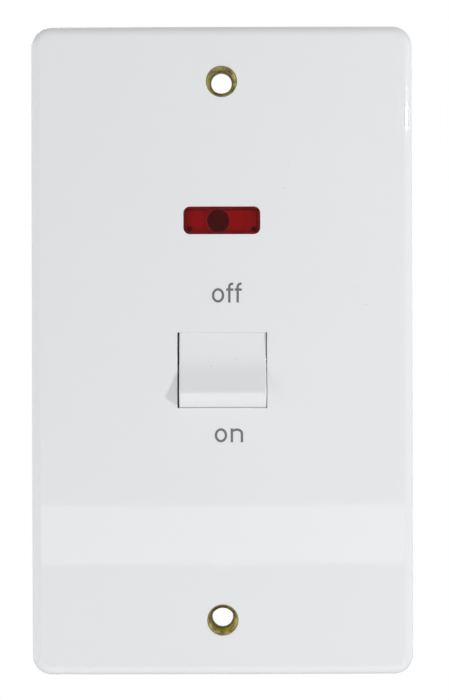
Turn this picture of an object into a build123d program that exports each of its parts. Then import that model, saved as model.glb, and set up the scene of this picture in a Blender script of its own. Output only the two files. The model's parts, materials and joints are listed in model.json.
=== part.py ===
from build123d import *
from math import cos, radians, sin, sqrt, tan
import os

# Double-pole cooker switch with a neon indicator on a tall two-gang plate, modelled switched off.
# Millimetres. X points right, Z points up and -Y points out of the wall, towards the room.
# The origin is on the wall plane, midway between the two fixing holes.
# A depth is counted forward from the wall plane, so a negative depth lies inside the wall box.

# Plate
plate_width = 86.0
plate_height = 146.0
plate_depth = 9.0
plate_wall = 2.6
plate_corner = 4.5
plate_edge = 2.2
plate_draft = 2.0
crown_radius = 1800.0
rib_wall = 1.4
rib_height = 3.0

# Fixing holes and their brass cups
fixing_spacing = 120.6
fixing_bore = 2.3
boss_radius = 5.0
cup_radius = 3.5
cup_sleeve = 3.0
cup_throat = 2.65
cup_mouth = 3.25
cup_lip = 0.9
cup_seat = 1.2

# Rocker, its aperture and its bearings
switch_height = -4.3
pivot_depth = 2.4
rocker_width = 19.5
rocker_radius = 10.45
rocker_ridge = 42.5
rocker_slope = 10.0
rocker_hollow_round = 11.0
rocker_wall = 1.6
rocker_foot = 1.9
rocker_tilt = 12.7
ridge_round = 1.2
side_round = 0.3
rocker_play = 0.12
side_gap = 0.14
end_gap = 0.1
aperture_round = 0.15
collar_wall = 1.6
trunnion_radius = 1.5
trunnion_clearance = 0.05
lug_radius = 3.0

# Plungers and their springs, which live in two tubes under the rocker
pole_offset = 5.3
plunger_radius = 1.9
plunger_clearance = 0.08
plunger_shoulder = 5.6
plunger_spigot = 0.85
spigot_length = 2.0
blade_clearance = 0.05
tube_wall = 1.1
tube_reach = 4.8
spring_wire = 0.25
spring_turns = 5

# Moving blades and the contacts that they close
blade_depth = -6.8
blade_tilt = 6.5
blade_width = 5.6
blade_thick = 1.2
blade_arm = 13.0
blade_tail = 12.0
lug_pin = 0.8
lug_clearance = 0.05
ear_wall = 1.0
ear_width = 5.0
ear_gap = 0.15
tip_radius = 2.0
tip_height = 1.0
tip_dome = 9.0
tip_round = 0.25
fixed_tip_height = 0.8
shank_radius = 0.9
contact_gap = 0.05
strip_thick = 1.2
strip_width = 5.0
peg_radius = 1.3
peg_height = 9.3
peg_clearance = 0.1

# Terminals and their clamp screws
terminal_offset = 16.0
terminal_width = 9.5
terminal_length = 16.0
terminal_front = -5.0
terminal_thick = 12.0
terminal_end = 25.5
terminal_round = 0.8
terminal_gap = 0.1
strip_tab = 1.2
strip_gap = 0.05
conductor_radius = 3.0
conductor_front = 1.5
screw_radius = 2.0
screw_clearance = 0.05
screw_centres = 8.0
head_radius = 3.2
head_height = 2.2
screw_travel = 4.5
screw_margin = 0.2
slot_width = 0.9
slot_depth = 1.1
earth_length = 8.6
earth_wall = 1.5
earth_radius = 3.0

# Switch base
base_wall = 1.5
base_side = 1.75
base_front = 1.0
base_floor = 2.2
base_corner = 2.0
barrier_wall = 1.6
chamber_length = 15.6
inner_front = -2.2
keeper_half = 1.4
well_radius = 3.6
entry_radius = 3.6
rear_cover = 0.4
base_screw_radius = 1.2
base_screw_pilot = 1.25
base_screw_hole = 1.5
base_screw_head = 3.0
base_screw_head_height = 2.0
base_screw_seat = -6.0
base_screw_reach = 4.2
pillar_radius = 3.8
post_size = 4.0

# Neon indicator
lens_height = 29.2
lens_width = 17.0
lens_tall = 6.0
lens_corner = 1.35
lens_gap = 0.1
lens_recess = 0.1
lens_skin = 1.5
lens_flange = 1.8
lens_flange_thick = 1.2
lens_seat = 6.0
lens_side = 0.6
carrier_thick = 2.0
carrier_tube = 3.9
carrier_reach = -2.0
pin_radius = 0.5
pin_offset = 7.25
pin_drop = 1.95
pin_length = 1.2
pin_clearance = 0.05
carrier_ear = 15.0
carrier_ear_tall = 5.0
stake_radius = 1.0
stake_head = 1.7
stake_gap = 0.1
frame_wall = 1.3
lamp_radius = 2.6
lamp_gap = 0.15
lamp_glass = 0.45
lamp_length = 10.0
lamp_tip = 4.4
lamp_pinch = 2.5
lamp_across = -0.8
electrode_radius = 0.35
electrode_offset = 0.9
wire_radius = 0.7
wire_depth = -7.0
wire_level = 21.0
wire_gap = 0.3
wire_bend = 1.3
resistor_radius = 1.2
resistor_length = 4.6
resistor_offset = 7.0

# Places worked out from the sizes above
fixing_height = fixing_spacing / 2
pole_sides = (1, -1)
base_half = terminal_offset + terminal_width / 2 + base_side
base_tall = terminal_end + base_wall
conductor_depth = terminal_front - conductor_front - conductor_radius
terminal_rear = terminal_front - terminal_thick
terminal_height = terminal_end - terminal_length / 2
screw_tip = conductor_depth - conductor_radius
head_seat = terminal_rear - screw_travel - screw_margin
base_rear = head_seat - head_height - rear_cover
tip_reach = (blade_thick / 2 + tip_height - tip_dome) * cos(radians(blade_tilt)) + tip_dome
tip_face = blade_depth - blade_arm * sin(radians(blade_tilt)) - tip_reach
fixed_face = tip_face - contact_gap
strip_top = fixed_face - fixed_tip_height
strip_floor = strip_top - strip_thick
chamber_inner = barrier_wall / 2
chamber_outer = terminal_offset - terminal_width / 2 - base_wall
chamber_middle = (chamber_inner + chamber_outer) / 2
ridge_up = rocker_radius * sin(radians(rocker_ridge))
ridge_forward = rocker_radius * cos(radians(rocker_ridge))
face_middle = ridge_forward - ridge_up * tan(radians(rocker_slope))
bearing_radius = trunnion_radius + trunnion_clearance
collar_end = pivot_depth - bearing_radius
aperture_half = rocker_width / 2 + rocker_play + side_gap
aperture_radius = rocker_radius + end_gap
tube_radius = plunger_radius + plunger_clearance + tube_wall
plunger_bore = plunger_radius + plunger_clearance
bore_roof = face_middle - rocker_wall
plunger_centre = pivot_depth - blade_depth - blade_thick / 2 - plunger_radius - blade_clearance
spring_seat = plunger_shoulder - plunger_centre
crown_centre = (0, crown_radius - plate_depth, 0)


def level(depth):
    """The plane parallel to the wall at that depth, with X to the right and Z up."""
    return Plane.XZ.offset(depth)


def side(depth, height, tilt=0.0, across=0.0):
    """A plane square to X through a point. Its x is up and its y is forward, with the top leaned back by tilt."""
    lean = radians(tilt)
    return Plane(origin=(across, -depth, height), x_dir=(0, sin(lean), cos(lean)), z_dir=(1, 0, 0))


def facing(depth, height, tilt=0.0, across=0.0):
    """A plane through a point that faces the room, with X to the right and the top leaned back by tilt."""
    lean = radians(tilt)
    return Plane(origin=(across, -depth, height), x_dir=(1, 0, 0), z_dir=(0, -cos(lean), sin(lean)))


def crown_depth(across, height):
    """How far the crowned face stands from the wall at that place."""
    return plate_depth - crown_radius + sqrt(crown_radius**2 - across**2 - height**2)


def rocker_section(inset, foot):
    """Draws the rocker from the side: round ends about the pivot, a face of two slopes and a flat foot."""
    Circle(rocker_radius - inset)
    middle = face_middle - inset / cos(radians(rocker_slope))
    rise = rocker_radius * tan(radians(rocker_slope))
    Polygon(
        (0, middle),
        (rocker_radius, middle + rise),
        (rocker_radius, 2 * rocker_radius),
        (-rocker_radius, 2 * rocker_radius),
        (-rocker_radius, middle + rise),
        align=None,
        mode=Mode.SUBTRACT,
    )
    with Locations((0, foot)):
        Rectangle(3 * rocker_radius, 2 * rocker_radius, align=(Align.CENTER, Align.MAX), mode=Mode.SUBTRACT)


def finished(builder, name):
    """Labels a finished piece and writes it."""
    builder.part.label = name
    export_step(builder.part, f"parts/{name}.step")


os.makedirs("parts", exist_ok=True)

# Front plate: a crowned tray, with all that is moulded on its back
with BuildPart() as plate_hollow:
    with BuildSketch(level(0)):
        RectangleRounded(plate_width - 2 * plate_wall, plate_height - 2 * plate_wall, plate_corner - plate_wall / 2)
    extrude(amount=plate_depth, taper=plate_draft)
    with Locations(crown_centre):
        Sphere(crown_radius - plate_wall, mode=Mode.INTERSECT)

terminal_places = [
    (pole * terminal_offset, switch_height + end * terminal_height) for pole in pole_sides for end in (1, -1)
]
earth_place = (0, switch_height - terminal_end + earth_length / 2)

with BuildPart() as plate_back:
    with BuildSketch(level(0)):
        with Locations((0, fixing_height), (0, -fixing_height)):
            Circle(boss_radius)
    extrude(amount=plate_depth)
    with BuildSketch(level(base_front)):
        with Locations((0, switch_height)):
            RectangleRounded(2 * base_half, 2 * base_tall, base_corner)
            Rectangle(2 * (base_half - base_side), 2 * (base_tall - base_wall), mode=Mode.SUBTRACT)
        with Locations([(pole * terminal_offset, switch_height) for pole in pole_sides]):
            Circle(pillar_radius)
    extrude(amount=plate_depth - base_front)
    with BuildSketch(level(collar_end)):
        with Locations((0, switch_height)):
            Rectangle(2 * (aperture_half + collar_wall), 2 * (aperture_radius + side_gap + collar_wall))
            Rectangle(2 * aperture_half, 2 * (aperture_radius + side_gap), mode=Mode.SUBTRACT)
    extrude(amount=plate_depth - collar_end)
    with BuildSketch(level(terminal_front)):
        with Locations(*terminal_places, earth_place):
            Rectangle(post_size, post_size)
    extrude(amount=plate_depth - terminal_front)
    with BuildSketch(level(plate_depth - plate_wall - rib_height)):
        with Locations((0, fixing_height), (0, -fixing_height)):
            Rectangle(plate_width - 2 * plate_wall, rib_wall)
        with Locations((0, (plate_height / 2 + lens_height) / 2)):
            Rectangle(rib_wall, plate_height / 2 - plate_wall / 2 - lens_height)
        with Locations((0, -(plate_height / 2 + base_tall - switch_height) / 2)):
            Rectangle(rib_wall, plate_height / 2 - plate_wall / 2 - base_tall + switch_height)
    extrude(amount=rib_height + plate_wall)
    with BuildSketch(level(lens_seat - lens_flange_thick)):
        with Locations((0, lens_height)):
            RectangleRounded(
                lens_width + 2 * (lens_flange + lens_gap + frame_wall),
                lens_tall + 2 * (lens_flange + lens_gap + frame_wall),
                lens_corner,
            )
        with Locations([(pole * carrier_ear, lens_height) for pole in pole_sides]):
            Rectangle(2 * stake_head + frame_wall, carrier_ear_tall)
    extrude(amount=plate_depth - lens_seat + lens_flange_thick)
    with Locations(crown_centre):
        Sphere(crown_radius - plate_wall / 2, mode=Mode.INTERSECT)

with BuildPart() as front_plate:
    with BuildSketch(level(0)):
        RectangleRounded(plate_width, plate_height, plate_corner)
    extrude(amount=plate_depth, taper=plate_draft)
    with Locations(crown_centre):
        Sphere(crown_radius, mode=Mode.INTERSECT)
    fillet(front_plate.faces().sort_by(Axis.Y)[0].edges(), plate_edge)
    add(plate_hollow.part, mode=Mode.SUBTRACT)
    add(plate_back.part)
    # The aperture's top and bottom are round about the pivot, so the gap to the rocker is even at every angle.
    with BuildSketch(side(pivot_depth, switch_height)):
        Circle(aperture_radius)
    extrude(amount=aperture_half, both=True, mode=Mode.SUBTRACT)
    aperture_rim = front_plate.edges().filter_by_position(Axis.X, -aperture_half, aperture_half)
    aperture_rim = aperture_rim.filter_by_position(
        Axis.Z, switch_height - aperture_radius, switch_height + aperture_radius
    ).filter_by_position(Axis.Y, -plate_depth, -plate_depth + aperture_round)
    fillet(aperture_rim, aperture_round)
    # Trunnion slots, open to the rear of the collar.
    with BuildSketch(side(pivot_depth, switch_height)):
        Circle(bearing_radius)
        Rectangle(2 * bearing_radius, 2 * bearing_radius, align=(Align.CENTER, Align.MAX))
    extrude(amount=aperture_half + collar_wall, both=True, mode=Mode.SUBTRACT)
    # Lens window, and the flat pocket for its flange.
    with BuildSketch(level(0)):
        with Locations((0, lens_height)):
            RectangleRounded(lens_width + 2 * lens_gap, lens_tall + 2 * lens_gap, lens_corner + lens_gap)
    extrude(amount=plate_depth, mode=Mode.SUBTRACT)
    with BuildSketch(level(lens_seat)):
        with Locations((0, lens_height)):
            RectangleRounded(
                lens_width + 2 * (lens_flange + lens_gap), lens_tall + 2 * (lens_flange + lens_gap), lens_corner
            )
    extrude(amount=-lens_seat, mode=Mode.SUBTRACT)
    # Pegs that pass through the lamp carrier and are melted over.
    with BuildSketch(level(lens_seat - lens_flange_thick - carrier_thick)):
        with Locations([(pole * carrier_ear, lens_height) for pole in pole_sides]):
            Circle(stake_radius)
    extrude(amount=carrier_thick)
    with BuildSketch(level(lens_seat - lens_flange_thick - carrier_thick)):
        with Locations([(pole * carrier_ear, lens_height) for pole in pole_sides]):
            Circle(stake_head)
    extrude(amount=-stake_head / 2, taper=30)
    # Fixing holes, stepped for the cups.
    with BuildSketch(level(0)):
        with Locations((0, fixing_height), (0, -fixing_height)):
            Circle(fixing_bore)
    extrude(amount=plate_depth, mode=Mode.SUBTRACT)
    cup_front = crown_depth(0, fixing_height)
    with BuildSketch(level(cup_seat)):
        with Locations((0, fixing_height), (0, -fixing_height)):
            Circle(cup_sleeve)
    extrude(amount=plate_depth, mode=Mode.SUBTRACT)
    with BuildSketch(level(cup_front - cup_lip)):
        with Locations((0, fixing_height), (0, -fixing_height)):
            Circle(cup_radius)
    extrude(amount=plate_depth, mode=Mode.SUBTRACT)
    # Pilot holes for the base screws.
    with BuildSketch(level(base_front)):
        with Locations([(pole * terminal_offset, switch_height) for pole in pole_sides]):
            Circle(base_screw_pilot)
    extrude(amount=base_screw_reach + screw_margin, mode=Mode.SUBTRACT)
finished(front_plate, "front_plate")

# Brass cups in the fixing holes
for cup_name, cup_height in (("fixing_cup_top", fixing_height), ("fixing_cup_bottom", -fixing_height)):
    with BuildPart() as fixing_cup:
        with BuildSketch(level(cup_front)):
            with Locations((0, cup_height)):
                Circle(cup_radius)
        extrude(amount=-cup_lip)
        with BuildSketch(level(cup_front)):
            with Locations((0, cup_height)):
                Circle(cup_sleeve)
        extrude(amount=cup_seat - cup_front)
        with BuildSketch(level(cup_front)):
            with Locations((0, cup_height)):
                Circle(cup_throat)
        extrude(amount=-cup_front, mode=Mode.SUBTRACT)
        with BuildSketch(level(cup_front)):
            with Locations((0, cup_height)):
                Circle(cup_mouth)
        extrude(amount=cup_throat - cup_mouth, taper=45, mode=Mode.SUBTRACT)
    finished(fixing_cup, cup_name)

# Neon lens: a window block on a flange, hollowed from the rear
with BuildPart() as neon_lens:
    with BuildSketch(level(lens_seat - lens_flange_thick)):
        with Locations((0, lens_height)):
            RectangleRounded(lens_width, lens_tall, lens_corner)
    extrude(amount=crown_depth(0, lens_height) - lens_recess - lens_seat + lens_flange_thick)
    with BuildSketch(level(lens_seat - lens_flange_thick)):
        with Locations((0, lens_height)):
            RectangleRounded(lens_width + 2 * lens_flange, lens_tall + 2 * lens_flange, lens_corner)
    extrude(amount=lens_flange_thick)
    with BuildSketch(level(lens_seat - lens_flange_thick)):
        with Locations((0, lens_height)):
            RectangleRounded(lens_width - 2 * lens_side, lens_tall - 2 * lens_side, lens_corner - lens_side / 2)
    extrude(amount=plate_depth - lens_skin - lens_seat + lens_flange_thick, mode=Mode.SUBTRACT)
    # Two pins from the window's rear face, down through its hollow and into the carrier.
    with BuildSketch(level(lens_seat - lens_flange_thick - pin_length)):
        with Locations([(pole * pin_offset, lens_height - pin_drop) for pole in pole_sides]):
            Circle(pin_radius)
    extrude(amount=plate_depth - lens_skin - lens_seat + lens_flange_thick + pin_length)
finished(neon_lens, "neon_lens")

# Lamp carrier: a white reflector plate with a tube for the lamp, held by the melted pegs
carrier_front = lens_seat - lens_flange_thick
with BuildPart() as lamp_carrier:
    with BuildSketch(level(carrier_front - carrier_thick)):
        with Locations((0, lens_height)):
            RectangleRounded(2 * (carrier_ear + stake_head), carrier_ear_tall, stake_radius)
            RectangleRounded(lens_width + 2 * lens_flange, lens_tall + 2 * lens_flange, lens_corner)
    extrude(amount=carrier_thick)
    with BuildSketch(level(carrier_reach)):
        with Locations((lamp_across, lens_height)):
            Circle(carrier_tube)
    extrude(amount=carrier_front - carrier_reach)
    with BuildSketch(level(carrier_reach)):
        with Locations((lamp_across, lens_height)):
            Circle(lamp_radius + lamp_gap)
        with Locations([(pole * carrier_ear, lens_height) for pole in pole_sides]):
            Circle(stake_radius + stake_gap)
    extrude(amount=carrier_front - carrier_reach, mode=Mode.SUBTRACT)
    # Blind sockets for the lens's two pins.
    with BuildSketch(level(carrier_front)):
        with Locations([(pole * pin_offset, lens_height - pin_drop) for pole in pole_sides]):
            Circle(pin_radius + pin_clearance)
    extrude(amount=-pin_length - pin_clearance, mode=Mode.SUBTRACT)
finished(lamp_carrier, "lamp_carrier")

# Neon lamp: a glass bulb along Y with a domed tip and a solid pinch, and two rods inside
lamp_end = lamp_tip - lamp_length
with BuildPart() as neon_bulb:
    with BuildSketch(level(lamp_end)):
        with Locations((lamp_across, lens_height)):
            Circle(lamp_radius)
    extrude(amount=lamp_length)
    fillet(neon_bulb.faces().sort_by(Axis.Y)[0].edges(), lamp_radius * 0.7)
    fillet(neon_bulb.faces().sort_by(Axis.Y)[-1].edges(), lamp_radius * 0.3)
    with BuildSketch(level(lamp_end + lamp_pinch)):
        with Locations((lamp_across, lens_height)):
            Circle(lamp_radius - lamp_glass)
    extrude(amount=lamp_length - lamp_pinch - lamp_radius * 0.5, mode=Mode.SUBTRACT)
    with BuildSketch(level(lamp_end)):
        with Locations([(lamp_across + pole * electrode_offset, lens_height) for pole in pole_sides]):
            Circle(electrode_radius + strip_gap)
    extrude(amount=lamp_pinch, mode=Mode.SUBTRACT)
finished(neon_bulb, "neon_bulb")

with BuildPart() as neon_electrodes:
    with BuildSketch(level(lamp_end)):
        with Locations([(lamp_across + pole * electrode_offset, lens_height) for pole in pole_sides]):
            Circle(electrode_radius)
    extrude(amount=lamp_length - 2 * lamp_radius * 0.7)
finished(neon_electrodes, "neon_electrodes")

# Lamp wires: back from the lamp, down into the base and out to the load terminals
wire_height = switch_height + wire_level
wire_end = terminal_offset - terminal_width / 2 - strip_gap
for wire_name, pole in (("lamp_wire_line", 1), ("lamp_wire_neutral", -1)):
    wire_start = lamp_across + pole * electrode_offset
    with BuildPart() as lamp_wire:
        with BuildLine() as wire_path:
            FilletPolyline(
                (wire_start, -lamp_end, lens_height),
                (wire_start, -wire_depth, lens_height),
                (wire_start, -wire_depth, wire_height),
                (pole * wire_end, -wire_depth, wire_height),
                radius=wire_bend,
            )
        with BuildSketch(Plane(wire_path.line @ 0, z_dir=wire_path.line % 0)):
            Circle(wire_radius)
        sweep()
        if pole > 0:
            with BuildSketch(Plane.YZ.offset(resistor_offset - resistor_length / 2)):
                with Locations((-wire_depth, wire_height)):
                    Circle(wire_radius)
            extrude(amount=resistor_length, mode=Mode.SUBTRACT)
    finished(lamp_wire, wire_name)

with BuildPart() as dropper_resistor:
    with BuildSketch(Plane.YZ.offset(resistor_offset - resistor_length / 2)):
        with Locations((-wire_depth, wire_height)):
            Circle(resistor_radius)
    extrude(amount=resistor_length)
    fillet(dropper_resistor.edges(), resistor_radius * 0.4)
finished(dropper_resistor, "dropper_resistor")

# Rocker: a hollow shell with two spring tubes and a trunnion at each side, tilted to off
# It lies towards the right of its aperture, within its side play.
rocker_side = side(pivot_depth, switch_height, rocker_tilt, rocker_play)
rocker_front = facing(pivot_depth, switch_height, rocker_tilt, rocker_play)
with BuildPart() as rocker_hollow:
    with BuildSketch(rocker_side):
        rocker_section(rocker_wall, -2 * rocker_foot)
    extrude(amount=rocker_width / 2 - rocker_wall, both=True)

with BuildPart() as rocker:
    with BuildSketch(rocker_side):
        rocker_section(0, -rocker_foot)
    extrude(amount=rocker_width / 2, both=True)
    face_vertex = rocker_front.offset(face_middle).origin
    fillet(rocker.edges().filter_by(Axis.X).sort_by_distance(face_vertex)[0], rocker_hollow_round)
    ridges = rocker.edges().filter_by(Axis.X).filter_by(GeomType.LINE).sort_by(Axis.Y)
    fillet([edge for edge in ridges if abs(edge.center().Y + pivot_depth) > ridge_forward / 2][:2], ridge_round)
    fillet(rocker.faces().filter_by(Axis.X).edges().filter_by(GeomType.CIRCLE), side_round)
    with BuildSketch(rocker_side):
        Circle(lug_radius)
    extrude(amount=rocker_width / 2, both=True)
    add(rocker_hollow.part, mode=Mode.SUBTRACT)
    with BuildSketch(rocker_front.offset(-tube_reach)):
        with Locations([(pole * pole_offset, 0) for pole in pole_sides]):
            Circle(tube_radius)
    extrude(amount=tube_reach + bore_roof + rocker_wall / 2)
    with BuildSketch(rocker_front.offset(-tube_reach)):
        with Locations([(pole * pole_offset, 0) for pole in pole_sides]):
            Circle(plunger_bore)
    extrude(amount=tube_reach + bore_roof, mode=Mode.SUBTRACT)
    for pole in pole_sides:
        with BuildSketch(side(pivot_depth, switch_height, rocker_tilt, rocker_play + pole * rocker_width / 2)):
            Circle(trunnion_radius)
        extrude(amount=pole * (side_gap + collar_wall))
finished(rocker, "rocker")

# Plungers and springs, one of each in either tube
for pole_name, pole in (("line", 1), ("neutral", -1)):
    with BuildPart() as plunger:
        with BuildSketch(rocker_front.offset(spring_seat)):
            with Locations((pole * pole_offset, 0)):
                Circle(plunger_radius)
        extrude(amount=-plunger_shoulder)
        with BuildSketch(rocker_front.offset(spring_seat)):
            with Locations((pole * pole_offset, 0)):
                Circle(plunger_spigot)
        extrude(amount=spigot_length)
        with Locations(rocker_front.offset(-plunger_centre)):
            with Locations((pole * pole_offset, 0)):
                Sphere(plunger_radius)
    finished(plunger, f"{pole_name}_plunger")

    with BuildPart() as spring:
        coil_radius = (plunger_spigot + plunger_bore) / 2
        coil_bottom = rocker_front.offset(spring_seat + 1.2 * spring_wire).from_local_coords((pole * pole_offset, 0, 0))
        coil_length = bore_roof - spring_seat - 2.4 * spring_wire
        with BuildLine() as coil:
            Helix(coil_length / spring_turns, coil_length, coil_radius, coil_bottom, rocker_front.z_dir)
        with BuildSketch(Plane(coil.line @ 0, z_dir=coil.line % 0)):
            Circle(spring_wire)
        sweep(is_frenet=True)
    finished(spring, f"{pole_name}_spring")

# Each pole: terminals, strips, tips and the blade that rocks between them
for pole_name, pole in (("line", 1), ("neutral", -1)):
    blade_across = pole * pole_offset
    tab_across = pole * (terminal_offset - terminal_width / 2 + strip_tab)
    strip_far = tab_across - blade_across
    contact_height = switch_height + blade_arm

    # Fixed strip: a leg under the fixed tip and a tab into the load terminal's side.
    with BuildPart() as fixed_contact:
        with BuildSketch(level(strip_floor)):
            leg_top = contact_height + strip_width / 2
            leg_bottom = switch_height + peg_height - strip_width / 2
            with Locations((blade_across, (leg_top + leg_bottom) / 2)):
                Rectangle(strip_width, leg_top - leg_bottom)
            with Locations((blade_across + strip_far / 2, contact_height)):
                Rectangle(abs(strip_far), strip_width)
            with Locations((blade_across, switch_height + peg_height)):
                Circle(peg_radius + peg_clearance, mode=Mode.SUBTRACT)
            with Locations((blade_across, contact_height)):
                Circle(shank_radius, mode=Mode.SUBTRACT)
        extrude(amount=strip_thick)
    finished(fixed_contact, f"{pole_name}_fixed_contact")

    with BuildPart() as fixed_tip:
        with BuildSketch(level(strip_floor)):
            with Locations((blade_across, contact_height)):
                Circle(shank_radius)
        extrude(amount=strip_thick)
        with BuildSketch(level(strip_top)):
            with Locations((blade_across, contact_height)):
                Circle(tip_radius)
        extrude(amount=fixed_tip_height)
        fillet(fixed_tip.faces().sort_by(Axis.Y)[0].edges(), tip_round)
    finished(fixed_tip, f"{pole_name}_fixed_tip")

    # Pivot bracket: a strip from the supply terminal with two ears that carry the blade's pins.
    with BuildPart() as pivot_bracket:
        with BuildSketch(level(strip_floor)):
            leg_top = switch_height + strip_width / 2
            leg_bottom = switch_height - blade_arm - strip_width / 2
            with Locations((blade_across, (leg_top + leg_bottom) / 2)):
                Rectangle(strip_width, leg_top - leg_bottom)
            with Locations((blade_across + strip_far / 2, switch_height - blade_arm)):
                Rectangle(abs(strip_far), strip_width)
            with Locations((blade_across, switch_height)):
                Rectangle(blade_width + 2 * (ear_gap + ear_wall), ear_width)
            with Locations((blade_across, switch_height - peg_height)):
                Circle(peg_radius + peg_clearance, mode=Mode.SUBTRACT)
        extrude(amount=strip_thick)
        with BuildSketch(side(blade_depth, switch_height, 0, blade_across)):
            Circle(ear_width / 2)
            Rectangle(ear_width, blade_depth - strip_top, align=(Align.CENTER, Align.MAX))
        extrude(amount=blade_width / 2 + ear_gap + ear_wall, both=True)
        with BuildSketch(side(blade_depth, switch_height, 0, blade_across)):
            Rectangle(2 * ear_width, 2 * (blade_depth - strip_top))
        extrude(amount=blade_width / 2 + ear_gap, both=True, mode=Mode.SUBTRACT)
        with BuildSketch(side(blade_depth, switch_height, 0, blade_across)):
            Circle(lug_pin + lug_clearance)
        extrude(amount=blade_width, both=True, mode=Mode.SUBTRACT)
    finished(pivot_bracket, f"{pole_name}_pivot_bracket")

    # Blade, leaned forward at the top while the switch is off.
    blade_plane = facing(blade_depth, switch_height, -blade_tilt, blade_across)
    with BuildPart() as blade:
        with BuildSketch(blade_plane.offset(-blade_thick / 2)):
            blade_end = blade_arm + tip_radius
            with Locations((0, (blade_end - blade_tail) / 2)):
                RectangleRounded(blade_width, blade_end + blade_tail, strip_thick)
            with Locations((0, blade_arm)):
                Circle(shank_radius, mode=Mode.SUBTRACT)
        extrude(amount=blade_thick)
        for edge in (1, -1):
            with BuildSketch(side(blade_depth, switch_height, -blade_tilt, blade_across + edge * blade_width / 2)):
                Circle(lug_pin)
            extrude(amount=edge * (ear_gap + ear_wall))
    finished(blade, f"{pole_name}_blade")

    with BuildPart() as moving_tip:
        with BuildSketch(blade_plane.offset(blade_thick / 2)):
            with Locations((0, blade_arm)):
                Circle(shank_radius)
        extrude(amount=-blade_thick)
        with BuildSketch(blade_plane.offset(-blade_thick / 2)):
            with Locations((0, blade_arm)):
                Circle(tip_radius)
        extrude(amount=-tip_height)
        with Locations(blade_plane.offset(tip_dome - tip_height - blade_thick / 2)):
            with Locations((0, blade_arm)):
                Sphere(tip_dome, mode=Mode.INTERSECT)
    finished(moving_tip, f"{pole_name}_moving_tip")

    # Terminals: the load above and the supply below.
    for end_name, end in (("load", 1), ("supply", -1)):
        block_height = switch_height + end * terminal_height
        strip_place = (tab_across, switch_height + end * blade_arm)
        with BuildPart() as terminal:
            with BuildSketch(level(terminal_rear)):
                with Locations((pole * terminal_offset, block_height)):
                    Rectangle(terminal_width, terminal_length)
            extrude(amount=terminal_thick)
            chamfer(terminal.edges().filter_by(Axis.Y), terminal_round)
            with BuildSketch(Plane.XY.offset(block_height)):
                with Locations((pole * terminal_offset, -conductor_depth)):
                    Circle(conductor_radius)
            extrude(amount=terminal_length / 2, both=True, mode=Mode.SUBTRACT)
            with BuildSketch(level(terminal_rear)):
                with Locations((pole * terminal_offset, block_height)):
                    with GridLocations(0, screw_centres, 1, 2):
                        Circle(screw_radius + screw_clearance)
            extrude(amount=conductor_depth - terminal_rear, mode=Mode.SUBTRACT)
            with BuildSketch(level(strip_floor - strip_gap)):
                with Locations(strip_place):
                    Rectangle(2 * strip_tab, strip_width + 2 * strip_gap)
            extrude(amount=strip_thick + 2 * strip_gap, mode=Mode.SUBTRACT)
        finished(terminal, f"{pole_name}_{end_name}_terminal")

# Earth terminal, between the two supply terminals
with BuildPart() as earth_terminal:
    with BuildSketch(level(terminal_rear)):
        with Locations(earth_place):
            Rectangle(terminal_width, earth_length)
    extrude(amount=terminal_thick)
    chamfer(earth_terminal.edges().filter_by(Axis.Y), terminal_round)
    with BuildSketch(Plane.XY.offset(earth_place[1])):
        with Locations((earth_place[0], -conductor_depth)):
            Circle(earth_radius)
    extrude(amount=earth_length / 2, both=True, mode=Mode.SUBTRACT)
    with BuildSketch(level(terminal_rear)):
        with Locations(earth_place):
            Circle(screw_radius + screw_clearance)
    extrude(amount=conductor_depth - terminal_rear, mode=Mode.SUBTRACT)
finished(earth_terminal, "earth_terminal")

# Clamp screws, all backed out
screw_places = {"earth_screw": earth_place}
for pole_name, pole in (("line", 1), ("neutral", -1)):
    for end_name, end in (("load", 1), ("supply", -1)):
        for rank_name, rank in (("outer", 1), ("inner", -1)):
            across = pole * terminal_offset
            height = switch_height + end * (terminal_height + rank * screw_centres / 2)
            screw_places[f"{pole_name}_{end_name}_{rank_name}_screw"] = (across, height)

for screw_name, screw_place in screw_places.items():
    with BuildPart() as clamp_screw:
        with BuildSketch(level(head_seat)):
            with Locations(screw_place):
                Circle(screw_radius)
        extrude(amount=screw_tip - head_seat)
        chamfer(clamp_screw.faces().sort_by(Axis.Y)[0].edges(), screw_radius / 4)
        with BuildSketch(level(head_seat)):
            with Locations(screw_place):
                Circle(head_radius)
        extrude(amount=-head_height)
        with BuildSketch(level(head_seat - head_height)):
            with Locations(screw_place):
                Rectangle(2 * head_radius, slot_width)
        extrude(amount=slot_depth, mode=Mode.SUBTRACT)
    finished(clamp_screw, screw_name)

# Switch base: a box open to the front, with a tower behind each terminal
tower_bottom = terminal_end - terminal_length - base_wall
tower_place = ((chamber_outer + base_half) / 2, (tower_bottom + base_tall) / 2)
deck_half = chamber_outer + base_wall
column_places = [(pole * terminal_offset, switch_height) for pole in pole_sides]
wire_channel = 2 * (wire_radius + wire_gap)
wire_floor = wire_depth - wire_channel / 2
store_bottom = chamber_length + base_wall

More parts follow.
